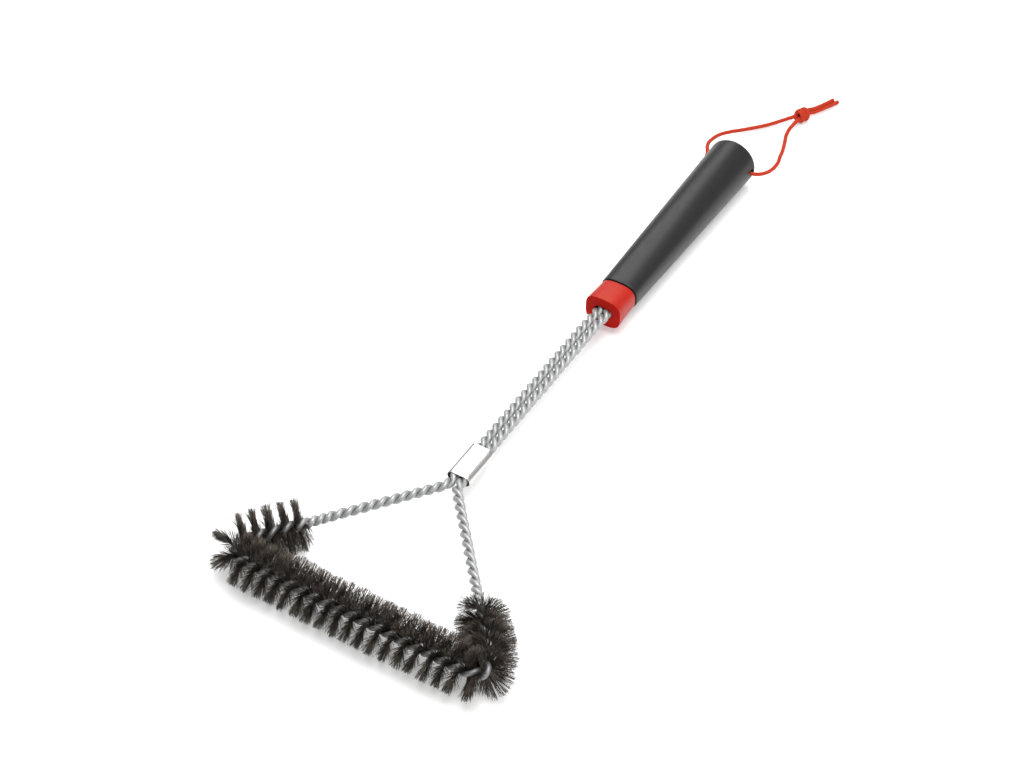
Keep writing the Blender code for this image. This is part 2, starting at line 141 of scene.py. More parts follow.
def mesh_object(name, points, faces, material, smooth=True, sharp=None):
    """A mesh object from an array of points and lists of faces."""
    data = bpy.data.meshes.new(name)
    data.from_pydata([tuple(p) for p in points], [], faces)
    data.validate()
    if smooth:
        data.shade_smooth()
        if sharp:
            data.set_sharp_from_angle(angle=radians(sharp))
    data.materials.append(material)
    made = bpy.data.objects.new(name, data)
    bpy.context.scene.collection.objects.link(made)
    return made


def ring_faces(rings, around, closed=False, first=0):
    """Quads between rings of the same number of points; closed joins the last ring to the first."""
    faces = []
    for r in range(rings if closed else rings - 1):
        near, far = first + r * around, first + (r + 1) % rings * around
        for i in range(around):
            j = (i + 1) % around
            faces.append((near + i, near + j, far + j, far + i))
    return faces


def loft(name, rings, material, closed=False, sharp=None):
    """A closed skin through rings of points; open ends are capped with a fan round the ring's middle."""
    rings = [np.asarray(ring, float) for ring in rings]
    around = len(rings[0])
    points = list(np.concatenate(rings))
    faces = ring_faces(len(rings), around, closed)
    if not closed:
        for start, turn in ((0, -1), ((len(rings) - 1) * around, 1)):
            points.append(np.mean(points[start:start + around], axis=0))
            hub = len(points) - 1
            for i in range(around):
                j = (i + 1) % around
                faces.append((start + i, start + j, hub)[::turn])
    made = mesh_object(name, points, faces, material, sharp=sharp)
    outwards(made)
    return made


def outwards(made):
    """Turn a closed mesh's faces outwards if its volume is negative."""
    data = made.data
    count = len(data.loop_triangles) or data.calc_loop_triangles() or len(data.loop_triangles)
    corners = np.empty(count * 3, np.int32)
    data.loop_triangles.foreach_get("vertices", corners)
    co = np.empty(len(data.vertices) * 3, np.float32)
    data.vertices.foreach_get("co", co)
    a, b, c = co.reshape(-1, 3)[corners.reshape(-1, 3)].astype(float).transpose(1, 0, 2)
    if np.einsum("ij,ij->i", a, np.cross(b, c)).sum() < 0:
        data.flip_normals()


def unit(v):
    """Vectors of length one."""
    return v / np.maximum(np.linalg.norm(v, axis=-1, keepdims=True), 1e-12)


def carried_frames(path):
    """Two normals at each point of a path, carried along it without twisting."""
    tangents = unit(np.gradient(path, axis=0))
    start = np.array((0.0, 0.0, 1.0))
    if abs(tangents[0] @ start) > 0.9:
        start = np.array((1.0, 0.0, 0.0))
    normals = [unit(start - tangents[0] * (tangents[0] @ start))]
    for t in tangents[1:]:
        normals.append(unit(normals[-1] - t * (normals[-1] @ t)))
    normals = np.array(normals)
    return tangents, normals, np.cross(tangents, normals)


def lengths_along(path):
    """Length from the path's start to each point."""
    return np.concatenate(([0.0], np.cumsum(np.linalg.norm(np.diff(path, axis=0), axis=1))))


def tube_points(path, around, radius):
    """Rings of a tube round a path; radius gives one number, or one for each length and angle."""
    _, normals, sides = carried_frames(path)
    angles = np.arange(around) * 2 * pi / around
    length = lengths_along(path)
    r = np.asarray(radius(length[:, None], angles[None, :]))
    ring = normals[:, None] * np.cos(angles)[None, :, None] + sides[:, None] * np.sin(angles)[None, :, None]
    return path[:, None] + ring * r[..., None]


def float_attribute(made, name, values):
    """A number on each point, for the material to read."""
    attribute = made.data.attributes.new(name, "FLOAT", "POINT")
    attribute.data.foreach_set("value", np.asarray(values, np.float32).ravel())


# Materials

class Shader:
    """A Principled material with short ways to add nodes."""

    def __init__(self, name, **sockets):
        self.material = bpy.data.materials.new(name)
        self.material.use_nodes = True
        self.tree = self.material.node_tree
        self.principled = self.tree.nodes["Principled BSDF"]
        for socket, value in sockets.items():
            self.principled.inputs[socket.replace("_", " ")].default_value = value
        self.place = self.node("ShaderNodeTexCoord").outputs["Object"]

    def node(self, kind, **settings):
        """A node with its settings."""
        made = self.tree.nodes.new(kind)
        for name, value in settings.items():
            setattr(made, name, value)
        return made

    def join(self, output, target):
        """Link an output to a socket."""
        self.tree.links.new(output, target)

    def mapped(self, scale):
        """The object's coordinates, stretched by scale."""
        mapping = self.node("ShaderNodeMapping")
        mapping.inputs["Scale"].default_value = scale
        self.join(self.place, mapping.inputs["Vector"])
        return mapping.outputs["Vector"]

    def noise(self, scale, detail=2.0, stretch=(1, 1, 1), roughness=0.5):
        """Noise with scale in features a metre."""
        made = self.node("ShaderNodeTexNoise")
        made.inputs["Scale"].default_value = scale
        made.inputs["Detail"].default_value = detail
        made.inputs["Roughness"].default_value = roughness
        self.join(self.mapped(stretch), made.inputs["Vector"])
        return made.outputs["Fac"]

    def attribute(self, name):
        """A number carried by the mesh."""
        return self.node("ShaderNodeAttribute", attribute_name=name).outputs["Fac"]

    def ramp(self, source, low, high, values):
        """Maps source from low..high to values."""
        made = self.node("ShaderNodeMapRange")
        self.join(source, made.inputs["Value"])
        made.inputs["From Min"].default_value = low
        made.inputs["From Max"].default_value = high
        made.inputs["To Min"].default_value = values[0]
        made.inputs["To Max"].default_value = values[1]
        return made.outputs["Result"]

    def blend(self, factor, one, two):
        """A colour between two colours or outputs."""
        made = self.node("ShaderNodeMix", data_type="RGBA")
        self.join(factor, made.inputs["Factor"])
        for source, socket in ((one, made.inputs["A"]), (two, made.inputs["B"])):
            if isinstance(source, tuple):
                socket.default_value = (*source, 1)
            else:
                self.join(source, socket)
        return made.outputs["Result"]

    def colour(self, output):
        """Drive the base colour."""
        self.join(output, self.principled.inputs["Base Color"])

    def rough(self, output):
        """Drive the roughness."""
        self.join(output, self.principled.inputs["Roughness"])

    def bump(self, height, distance, strength=1.0):
        """Bumps of a real height in metres."""
        made = self.node("ShaderNodeBump")
        made.inputs["Distance"].default_value = distance
        made.inputs["Strength"].default_value = strength
        self.join(height, made.inputs["Height"])
        self.join(made.outputs["Normal"], self.principled.inputs["Normal"])


def galvanised_wire():
    """Drawn zinc-coated wire: a soft satin, with painted shade darkening it where the bristles are trapped
    round it.
    """
    s = Shader("galvanised_wire", Metallic=0.6)
    patches = s.noise(900, detail=4)
    bright = s.blend(s.ramp(patches, 0.35, 0.65, (0, 1)), (0.33, 0.34, 0.34), (0.42, 0.43, 0.43))
    # painted shade: the colour darkens towards the dark tone where the bristles surround the wire
    s.colour(s.blend(s.attribute("dark"), bright, (0.26, 0.26, 0.265)))
    s.rough(s.ramp(s.noise(1800, detail=3), 0.3, 0.7, (0.42, 0.58)))
    s.bump(s.noise(3200, detail=3), 0.02 * MM)
    return s.material


def filament_steel():
    """Dark spring-wire filaments, each a little different."""
    s = Shader("filament_steel", Metallic=0.7)
    s.colour(s.blend(s.attribute("tone"), (0.026, 0.021, 0.017), (0.165, 0.140, 0.115)))
    s.rough(s.ramp(s.noise(700), 0.3, 0.7, (0.28, 0.5)))
    return s.material


def bright_steel():
    """Polished pressed steel with a faint lengthwise grain."""
    s = Shader("bright_steel", Metallic=1.0)
    grain = s.noise(900, detail=3, stretch=(1, 0.04, 1))
    s.colour(s.blend(grain, (0.56, 0.552, 0.545), (0.65, 0.642, 0.635)))
    s.rough(s.ramp(grain, 0.3, 0.7, (0.26, 0.35)))
    s.bump(grain, 0.004 * MM)
    return s.material


SHADED_FRONT_SHEEN = 0.05                 # share of the sheen left on a face the mesh marks as shaded, where the sheen is cut to paint shade


def moulded(name, dark, light, roughness, grain, specular, tint):
    """Moulded plastic with a fine spark-eroded grain; the sheen is cut to paint shade where the mesh marks a
    face as shaded.
    """
    s = Shader(name)
    # painted shade: less sheen on faces the mesh marks as shaded
    sheen = s.ramp(s.attribute("shaded_front"), 0, 1, (specular, specular * SHADED_FRONT_SHEEN))
    s.join(sheen, s.principled.inputs["Specular IOR Level"])
    s.principled.inputs["Specular Tint"].default_value = (*tint, 1)
    s.colour(s.blend(s.noise(160, detail=5), dark, light))
    s.rough(s.ramp(s.noise(420, detail=4), 0.3, 0.7, roughness))
    s.bump(s.noise(2600, detail=2), grain)
    return s.material


def braided_cord():
    """Braided polyester: painted light where the yarns stand up and painted shade between them, melted at
    the cut ends.
    """
    s = Shader("braided_cord")
    s.principled.inputs["Specular IOR Level"].default_value = 0.25
    s.principled.inputs["Specular Tint"].default_value = (1.0, 0.45, 0.35, 1)
    # painted shade in the braid's grooves and painted light on its ridges, from the braid's height
    raised = s.ramp(s.attribute("relief"), 0.1, 0.95, (0, 1))
    yarn = s.blend(raised, (0.22, 0.005, 0.002), (0.47, 0.040, 0.015))
    tinted = s.blend(s.ramp(s.noise(500, detail=4), 0.35, 0.7, (0, 0.25)), yarn, (0.52, 0.070, 0.030))
    s.colour(s.blend(s.attribute("melt"), tinted, (0.30, 0.010, 0.006)))
    s.rough(s.ramp(s.attribute("melt"), 0, 1, (0.72, 0.42)))
    s.bump(s.noise(6000, detail=2), 0.02 * MM)
    return s.material


WIRE = galvanised_wire()
FILAMENT = filament_steel()
BRIGHT = bright_steel()
RED = moulded("red_plastic", (0.345, 0.009, 0.006), (0.385, 0.012, 0.008), (0.40, 0.5), 0.012 * MM,
              0.50, (1.0, 0.54, 0.33))
BLACK = moulded("black_plastic", (0.0125, 0.0123, 0.0130), (0.017, 0.0166, 0.0170), (0.34, 0.43), 0.014 * MM,
                0.32, (1.0, 0.98, 0.99))
CORD = braided_cord()


# The wires' route

class Route:
    """Centre line of the twisted pair, as points of a polygon with rounded corners."""

    def __init__(self, corners, bends):
        corners = [Vector(c).to_3d() for c in corners]
        self.pieces = []
        self.length = 0.0
        here = corners[0]
        for before, corner, after, bend in zip(corners, corners[1:], corners[2:], bends):
            into = (corner - before).normalized()
            out = (after - corner).normalized()
            turn = into.angle(out)
            reach = bend * tan(turn / 2)
            start = corner - into * reach
            self.add_line(here, start)
            side = 1 if into.cross(out).z > 0 else -1
            self.pieces.append((self.length, bend * turn, "bend", (start, into, side, bend)))
            self.length += bend * turn
            here = corner + out * reach
        self.add_line(here, corners[-1])

    def add_line(self, start, end):
        """Append a straight stretch."""
        size = (end - start).length
        self.pieces.append((self.length, size, "line", (start, (end - start).normalized())))
        self.length += size

    def at(self, s):
        """Point and direction at length s from the route's start."""
        for start, size, kind, values in self.pieces:
            if s <= start + size:
                break
        t = s - start
        if kind == "line":
            origin, along = values
            return leaning(origin + along * t, along)
        origin, along, side, bend = values
        normal = Vector((-along.y, along.x, 0)) * side
        angle = t / bend
        point = origin + along * (bend * sin(angle)) + normal * (bend * (1 - cos(angle)))
        return leaning(point, along * cos(angle) + normal * sin(angle))


def leaning(point, along):
    """A point and direction of the route, with the head's lean past the ferrule."""
    past = Y_BEND - point.y
    root = sqrt(past * past + LEAN_EASE * LEAN_EASE)
    shear = HEAD_LEAN * (1 + past / root) / 2
    shift = SHAFT_SHIFT * min(max((Y_COLLAR - point.y) / SHIFT_EASE, 0), 1)
    moved = Vector((point.x + shift + HEAD_LEAN * (past + root) / 2, point.y, point.z))
    return moved, Vector((along.x - shear * along.y, along.y, 0)).normalized()


Y_APEX = Y_BAR + ARM_APEX_BEHIND_BAR
X_CORNER = ARM_APEX_BEHIND_BAR * tan(ARM_ANGLE)
HALF_PAIR = PAIR_SPACING / 2
Y_BEND = Y_APEX - HALF_PAIR / tan(ARM_ANGLE)
ROUTE = Route([(-HALF_PAIR, WIRE_END), (-HALF_PAIR, Y_BEND), (-X_CORNER, Y_BAR),
               (X_CORNER, Y_BAR), (HALF_PAIR, Y_BEND), (HALF_PAIR, WIRE_END)],
              [FERRULE_BEND, CORNER_BEND, CORNER_BEND, FERRULE_BEND])
MIDDLE = ROUTE.length / 2
CORNER_TURN = pi / 2 + ARM_ANGLE
CORNER_REACH = CORNER_BEND * tan(CORNER_TURN / 2)
BAR_HALF = X_CORNER - CORNER_REACH
CORNER_LENGTH = CORNER_BEND * CORNER_TURN
BRISTLE_END = BAR_HALF + CORNER_LENGTH + ARM_BRISTLES - CORNER_REACH
TIGHT_END = BRISTLE_END + TIGHT_LENGTH
FERRULE_FRONT = MIDDLE - (WIRE_END - (Y_APEX + FERRULE_BEHIND_APEX))
TWIST_ZONES = [(BRISTLE_END, HALF_TURN_BRISTLED), (TIGHT_END, HALF_TURN_TIGHT),
               (FERRULE_FRONT, HALF_TURN_ARM), (MIDDLE + MM, HALF_TURN_SHAFT)]

# Half turns gained on the left side, where the pitch is uneven: from, to (from the middle), gain
LEFT_GAINS = [(0, BAR_HALF, 0.2),
              (BAR_HALF, BAR_HALF + CORNER_LENGTH, 0.45),
              (BRISTLE_END, FERRULE_FRONT, 0.35)]


def phase(s):
    """Angle of the twist at length s; it falls along the route, which is a left-hand twist."""
    rest = abs(s - MIDDLE)
    done = 0.0
    turns = 0.0
    if s < MIDDLE:
        for start, end, gain in LEFT_GAINS:
            turns += gain * min(max((rest - start) / (end - start), 0), 1)
    for end, half_turn in TWIST_ZONES:
        step = min(rest, end) - done
        if step > 0:
            turns += step / half_turn
            done += step
    return MIDDLE_PHASE - pi * turns * (1 if s > MIDDLE else -1)


def bristled(s):
    """1 in the bristled stretch, easing to 0 where the bristles thin out."""
    return min(max((BRISTLE_END - WIRES_CLOSE - abs(s - MIDDLE)) / HALF_TURN_TIGHT + 1, 0), 1)


def across(along, angle):
    """Unit vector square to the route at an angle from the route's left side towards +Z."""
    left = Vector((-along.y, along.x, 0))
    return left * cos(angle) + Vector((0, 0, 1)) * sin(angle)


LIFT = Vector((0, 0, AXIS_HEIGHT))


# Wires

WIRE_SIDES = 14
WIRE_STEP = 0.42 * MM


def make_strand(name, half, nodes):
    """One wire from its end in the handle round the head and back, wound round the other."""
    steps = ceil(ROUTE.length / WIRE_STEP)
    lengths = [ROUTE.length * i / steps for i in range(steps + 1)]
    path = []
    dark = []
    for s in lengths:
        centre, along = ROUTE.at(s)
        radius = TWIST_RADIUS + (TWIST_RADIUS_BRISTLED - TWIST_RADIUS) * bristled(s)
        path.append(centre + LIFT + across(along, phase(s) + half * pi) * radius)
        # how much painted shade the bristles round the wire give it, for the material
        dark.append(bristled(s))
    rings = tube_points(np.array(path), WIRE_SIDES, lambda length, angle: WIRE_DIAMETER / 2)
    made = loft(name, rings, WIRE)
    values = np.repeat(dark, WIRE_SIDES)
    float_attribute(made, "dark", np.concatenate((values, [dark[0], dark[-1]])))
    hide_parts(*nodes)
    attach(made, "brush")
    return made


for index, letter in enumerate("ab"):
    stretches = ["shaft_wire_left", "arm_wire_left", "bar_wire", "arm_wire_right", "shaft_wire_right"]
    make_strand(f"wire_strand_{letter}", index, [f"{stretch}_{letter}" for stretch in stretches])


# Bristles

FILAMENTS_PER_HALF_TURN = 230
FILAMENT_DIAMETER = 0.28 * MM
FILAMENT_POINTS = 7
WEB_THICKNESS = 1.0 * MM          # the filament layer squeezed between the wires
WEB_REACH = 3.0 * MM              # from the centre line to where the filaments are free to splay
SPLAY = radians(4.8)
REACH_SPREAD = 0.03               # of the reach, from filament to filament
STRAY_SHARE = 0.10                # filaments that stick out of their tuft
STRAY_SPLAY = radians(8)
TUFT_LEAN = radians(3.5)          # how far a whole tuft leans along the brush
TUFT_UNEVENNESS = 0.035           # of the reach, from tuft to tuft
THIN_END = 5 * MM                 # the run of bristles thins out over its last stretch
THIN_SHARE = 0.12                 # of the filaments kept at the very end
THIN_SHORTER = 0.22               # how much shorter they are there, of the reach
ANGLE_SPREAD = 0.04               # radians, from filament to filament round the twist
CURL = 1.2 * MM                   # sideways at the tip, spread
TONE_MIDDLE = 0.42
TONE_SPREAD = 0.28
FLOOR_CLEARANCE = 0.18 * MM


def make_bristles(name, node, start, end, rng):
    """Filaments trapped between the wires, each from tip to tip through the twist's centre."""
    count = round((end - start) / HALF_TURN_BRISTLED * FILAMENTS_PER_HALF_TURN)
    stations = np.sort(rng.uniform(start, end, count))
    to_end = BRISTLE_END - np.abs(stations - MIDDLE)
    stations = stations[rng.uniform(THIN_SHARE, 1, count) < THIN_SHARE + to_end / THIN_END]
    count = len(stations)
    centres = []
    outs = []
    thicks = []
    alongs = []
    for s in stations:
        centre, along = ROUTE.at(s)
        angle = phase(s) + pi / 2 + rng.normal(0, ANGLE_SPREAD)
        centres.append(centre + LIFT)
        outs.append(across(along, angle))
        thicks.append(across(along, angle + pi / 2))
        alongs.append(along)
    centres, outs, thicks, alongs = (np.array(v)[:, None] for v in (centres, outs, thicks, alongs))
    half = FILAMENT_POINTS // 2
    u = np.concatenate((-np.linspace(1, 1 / half, half), [0], np.linspace(1 / half, 1, half)))[None, :]
    side = np.where(u < 0, 0, 1)
    rows = np.arange(count)[:, None]
    tuft = stations[:, None] / HALF_TURN_BRISTLED + np.array((0.0, 31.0))
    uneven = TUFT_UNEVENNESS * (np.sin(tuft * 2.9) + np.sin(tuft * 4.7 + 1)) / 2 - TUFT_UNEVENNESS * 0.5
    short = THIN_SHORTER * np.clip(1 - (BRISTLE_END - np.abs(stations - MIDDLE)) / THIN_END, 0, 1)[:, None]
    reach = (BRISTLE_REACH * (0.99 + rng.normal(0, REACH_SPREAD, (count, 2)) + uneven - short))[rows, side]
    free = np.clip(np.abs(u) * reach - WEB_REACH, 0, None)
    wild = np.where(rng.uniform(0, 1, (count, 2)) < STRAY_SHARE, STRAY_SPLAY, SPLAY)
    lean = TUFT_LEAN * np.sin(tuft * 3.7 + 2) * np.sin(tuft * 1.3)
    splay_thick = np.tan(rng.normal(0, 1, (count, 2)) * wild)[rows, side]
    splay_along = np.tan(rng.normal(0, 1, (count, 2)) * wild + lean)[rows, side]
    curl = rng.normal(0, CURL, (count, 2))[rows, side] * (free / BRISTLE_REACH) ** 2
    layer = rng.uniform(-0.5, 0.5, (count, 1)) * WEB_THICKNESS
    path = (centres + outs * (u * reach)[..., None]
            + thicks * (layer * (1 - 0.3 * np.abs(u)) + free * splay_thick + curl)[..., None]
            + alongs * (free * splay_along - curl)[..., None])
    low = path[..., 2] < FLOOR_CLEARANCE
    path[..., 2] = np.where(low, FLOOR_CLEARANCE + (path[..., 2] - FLOOR_CLEARANCE) * -0.15, path[..., 2])
    tangents = unit(np.gradient(path, axis=1))
    normals = unit(thicks - tangents * np.sum(tangents * thicks, axis=-1, keepdims=True))
    sides = np.cross(tangents, normals)
    angles = np.arange(3) * 2 * pi / 3
    width = FILAMENT_DIAMETER / 2 * np.where(np.abs(u) == 1, 0.75, 1.0)[..., None, None]
    ring = (normals[:, :, None] * np.cos(angles)[:, None]
            + sides[:, :, None] * np.sin(angles)[:, None]) * width
    points = (path[:, :, None] + ring).reshape(-1, 3)
    faces = []
    block = FILAMENT_POINTS * 3
    for f in range(count):
        first = f * block
        faces.extend(ring_faces(FILAMENT_POINTS, 3, first=first))
        last = first + block - 3
        faces.append((first + 2, first + 1, first))
        faces.append((last, last + 1, last + 2))
    made = mesh_object(name, points, faces, FILAMENT)
    outwards(made)
    tone = np.clip(rng.normal(TONE_MIDDLE, TONE_SPREAD, count), 0, 1)
    float_attribute(made, "tone", np.repeat(tone, block))
    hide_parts(node)
    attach(made, "brush")
    return made


BRISTLE_EDGES = [BRISTLE_END, BAR_HALF + CORNER_LENGTH, BAR_HALF]
BRISTLE_CUTS = [MIDDLE - e for e in BRISTLE_EDGES] + [MIDDLE + e for e in reversed(BRISTLE_EDGES)]
RANDOM = np.random.default_rng(SEED)
for where, start, end in zip(("left_arm", "left_corner", "front_bar", "right_corner", "right_arm"),
                             BRISTLE_CUTS, BRISTLE_CUTS[1:]):
    make_bristles(f"filaments_{where}", f"bristles_{where}", start, end, RANDOM)


# Ferrule: a flattened tube, open at both ends

def stadium(half_width, half_height, points=96):
    """Outline with round ends, in X and Z, evenly spaced by polar angle."""
    flat = half_width - half_height
    ring = []
    for i in range(points):
        angle = 2 * pi * (i + 0.5) / points
        dx, dz = cos(angle), sin(angle)
        to_flat = half_height / abs(dz) if abs(dz) > 1e-9 else 1e9
        if abs(dx) * to_flat <= flat:
            ring.append((dx * to_flat, dz * to_flat))
        else:
            b = -flat * abs(dx)
            t = -b + sqrt(max(b * b - (flat * flat - half_height * half_height), 0))
            ring.append((dx * t, dz * t))
    return ring


def stadium_ring(y, half_width, half_height):
    """A stadium ring at y, round the shaft."""
    return [(x + SHAFT_SHIFT, y, z + AXIS_HEIGHT) for x, z in stadium(half_width, half_height)]


def make_ferrule():
    """Pressed tube with rolled rims, pinched a little round the wires."""
    start = Y_APEX + FERRULE_BEHIND_APEX
    end = start + FERRULE_LENGTH
    lip = FERRULE_WALL / 2
    rings = []

    def ring(y, inset):
        t = (y - start) / FERRULE_LENGTH
        crown = FERRULE_PINCH * sin(pi * min(max(t, 0), 1))
        rings.append(stadium_ring(y, FERRULE_HALF_WIDTH - inset - crown * 0.3,
                                  FERRULE_HALF_HEIGHT - inset - crown))

    for i in range(13):
        ring(start + lip + (FERRULE_LENGTH - 2 * lip) * i / 12, 0)
    for i in range(1, 6):
        angle = pi * i / 6
        ring(end - lip + lip * sin(angle), lip * (1 - cos(angle)))
    for i in range(13):
        ring(end - lip - (FERRULE_LENGTH - 2 * lip) * i / 12, FERRULE_WALL)
    for i in range(1, 6):
        angle = pi * i / 6
        ring(start + lip - lip * sin(angle), lip * (1 + cos(angle)))
    made = loft("pressed_ferrule", rings, BRIGHT, closed=True)
    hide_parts("ferrule")
    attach(made, "brush")


make_ferrule()
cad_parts["wire_end_sleeve"].data.materials.clear()
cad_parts["wire_end_sleeve"].data.materials.append(BRIGHT)


# Handle

SECTION_POINTS = 128


def handle_ring(y, inset):
    """The handle's section at y, moved inwards by inset."""
    t = min(max((y - Y_SEAM) / (Y_TAIL - Y_SEAM), 0), 1)
    flare = min(max((Y_SEAM - y) / (Y_SEAM - Y_COLLAR), 0), 1)
    half_width = (SEAM_HALF_WIDTH + (TAIL_RADIUS - SEAM_HALF_WIDTH) * t
                  + (COLLAR_HALF_WIDTH - SEAM_HALF_WIDTH) * flare)
    half_height = (SEAM_HALF_HEIGHT + (TAIL_RADIUS - SEAM_HALF_HEIGHT) * t
                   + (COLLAR_HALF_HEIGHT - SEAM_HALF_HEIGHT) * flare)
    power = 2 / (2 + (SEAM_SQUARENESS - 2) * (1 - t) ** 1.5 + (COLLAR_SQUARENESS - SEAM_SQUARENESS) * flare)
    ring = []
    for i in range(SECTION_POINTS):
        angle = 2 * pi * (i + 0.5) / SECTION_POINTS
        c, s = cos(angle), sin(angle)
        x = abs(c) ** power * (1 if c > 0 else -1) * (half_width - inset)
        z = abs(s) ** power * (1 if s > 0 else -1) * (half_height - inset)
        ring.append((x, y, z + AXIS_HEIGHT))
    return ring


def rounded(y_end, rounding, inset, direction, steps):
    """Rings that round an end over; direction is +1 towards +Y."""
    rings = []
    for i in range(steps + 1):
        angle = pi / 2 * i / steps
        y = y_end - direction * rounding * (1 - sin(angle))
        rings.append(handle_ring(y, inset + rounding * (1 - cos(angle))))
    return rings


def make_handle():
    """Black sleeve: a thin front rim round the collar's tenon, a rounded tail and a cross hole."""
    front = Y_SEAM + SEAM_GAP
    rim = 0.35 * MM
    stations = 60
    inner = [handle_ring(y, HANDLE_WALL)
             for y in (Y_SEAM + TENON_LENGTH + 14 * MM, Y_SEAM + 6 * MM, front + rim)]
    lip_in = [handle_ring(front + rim - rim * sin(pi / 2 * i / 4),
                          HANDLE_WALL - rim * (1 - cos(pi / 2 * i / 4)))
              for i in range(1, 5)]
    lip_out = list(reversed(rounded(front, rim, 0, -1, 4)))
    length = Y_TAIL - TAIL_ROUNDING - front - rim
    body = [handle_ring(front + rim + length * i / stations, 0) for i in range(1, stations)]
    tail = rounded(Y_TAIL, TAIL_ROUNDING, 0, 1, 10)
    for share in (0.75, 0.5, 0.25):
        tail.append([((x * share), y, (z - AXIS_HEIGHT) * share + AXIS_HEIGHT) for x, y, z in tail[10]])
    made = loft("handle_grip", inner + lip_in + lip_out + body + tail, BLACK, sharp=50)
    bpy.ops.mesh.primitive_cylinder_add(vertices=48, radius=HOLE_DIAMETER / 2, depth=4 * TAIL_RADIUS,
                                        location=(0, Y_HOLE, AXIS_HEIGHT), rotation=(0, pi / 2, 0))
    drill = bpy.context.object
    step = made.modifiers.new("cross_hole", "BOOLEAN")
    step.operation = "DIFFERENCE"
    step.solver = "EXACT"
    step.object = drill
    apply_modifiers(made)
    bpy.data.objects.remove(drill, do_unlink=True)
    made.data.shade_smooth()
    made.data.set_sharp_from_angle(angle=radians(50))
    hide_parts("handle_sleeve")
    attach(made, "brush")


def apply_modifiers(made):
    """Keep the evaluated mesh and drop the modifiers."""
    bpy.context.view_layer.update()
    evaluated = made.evaluated_get(bpy.context.evaluated_depsgraph_get())
    made.data = bpy.data.meshes.new_from_object(evaluated)
    made.modifiers.clear()


make_handle()


# Collar

SLOT_HALF_WIDTH = 6.3 * MM
SLOT_HALF_HEIGHT = 3.6 * MM


def slot_ring(y, grow):
    """The slot's outline at y, wider by grow."""
    outline = stadium(SLOT_HALF_WIDTH + grow, SLOT_HALF_HEIGHT + grow, SECTION_POINTS)
    return [(x, y, z + AXIS_HEIGHT) for x, z in outline]


def make_collar():
    """Red collar: crisp front face with a slot for the wires, and a tenon inside the sleeve."""
    edge = 0.45 * MM
    tenon = HANDLE_WALL + 0.3 * MM
    back = Y_SEAM + TENON_LENGTH
    rings = [slot_ring(Y_COLLAR + edge * (1 - cos(pi / 2 * i / 4)), edge * (1 - sin(pi / 2 * i / 4)))
             for i in range(5)]
    rings += [slot_ring(Y_COLLAR + 6 * MM, 0), slot_ring(back, 0), handle_ring(back, tenon),
              handle_ring(Y_SEAM + 2 * MM, tenon), handle_ring(Y_SEAM, tenon),
              handle_ring(Y_SEAM, COLLAR_INSET + edge)]
    rings += list(rounded(Y_SEAM, edge, COLLAR_INSET, 1, 4))[::-1][1:]
    rings += [handle_ring(Y_SEAM - 6 * MM, COLLAR_INSET), handle_ring(Y_COLLAR + 6 * MM, COLLAR_INSET)]
    rings += rounded(Y_COLLAR, edge, COLLAR_INSET, -1, 4)
    outer = np.array(rings[-1])
    inner = np.array(rings[0])
    rings += [outer + (inner - outer) * share for share in (0.15, 0.5, 0.85)]
    made = loft("collar_moulding", rings, RED, closed=True, sharp=40)
    # the collar's front face gets painted shade: its sheen is cut
    float_attribute(made, "shaded_front", [vertex.co.y < Y_COLLAR + edge * 0.6 for vertex in made.data.vertices])
    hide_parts("collar")
    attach(made, "brush")


make_collar()


# Hanging cord

def smooth_route(points, step):
    """Points a step apart along a smooth curve through the given points, in millimetres."""
    points = np.array(points, float) * MM
    padded = np.concatenate(([points[0] * 2 - points[1]], points, [points[-1] * 2 - points[-2]]))
    t = np.linspace(0, 1, 24, endpoint=False)[:, None]
    fine = []
    for a, b, c, d in zip(padded, padded[1:], padded[2:], padded[3:]):
        fine.append(0.5 * (2 * b + (c - a) * t + (2 * a - 5 * b + 4 * c - d) * t ** 2
                           + (3 * b - a - 3 * c + d) * t ** 3))
    fine.append(points[-1:])
    fine = np.concatenate(fine)
    lengths = lengths_along(fine)
    wanted = np.linspace(0, lengths[-1], ceil(lengths[-1] / step) + 1)
    return np.stack([np.interp(wanted, lengths, fine[:, k]) for k in range(3)], axis=1)


YARNS = 8                         # each way round the cord
PICK = 1.05 * MM                  # along the cord, from one crossing to the next
BRAID_DEPTH = 0.2 * MM
BRAID_SUNK = 0.35                 # share of the braid's depth that lies inside the cord's radius
CORD_STEP = 0.16 * MM
CORD_SIDES = 40


def braid(length, angle):
    """Height of a plain braid from 0 to 1: two sets of yarns that pass over and under each other."""
    u = YARNS * angle / (2 * pi) + length / (2 * PICK)
    v = YARNS * angle / (2 * pi) - length / (2 * PICK)

    def yarn(own, other, parity):
        ridge = np.sqrt(np.clip(1 - (2 * (own % 1) - 1) ** 2, 0, 1))
        lift = 0.55 + 0.45 * np.cos(pi * (other - 0.5 + np.floor(own) + parity))
        return ridge * lift

    return np.maximum(yarn(u, v, 0), yarn(v, u, 1))


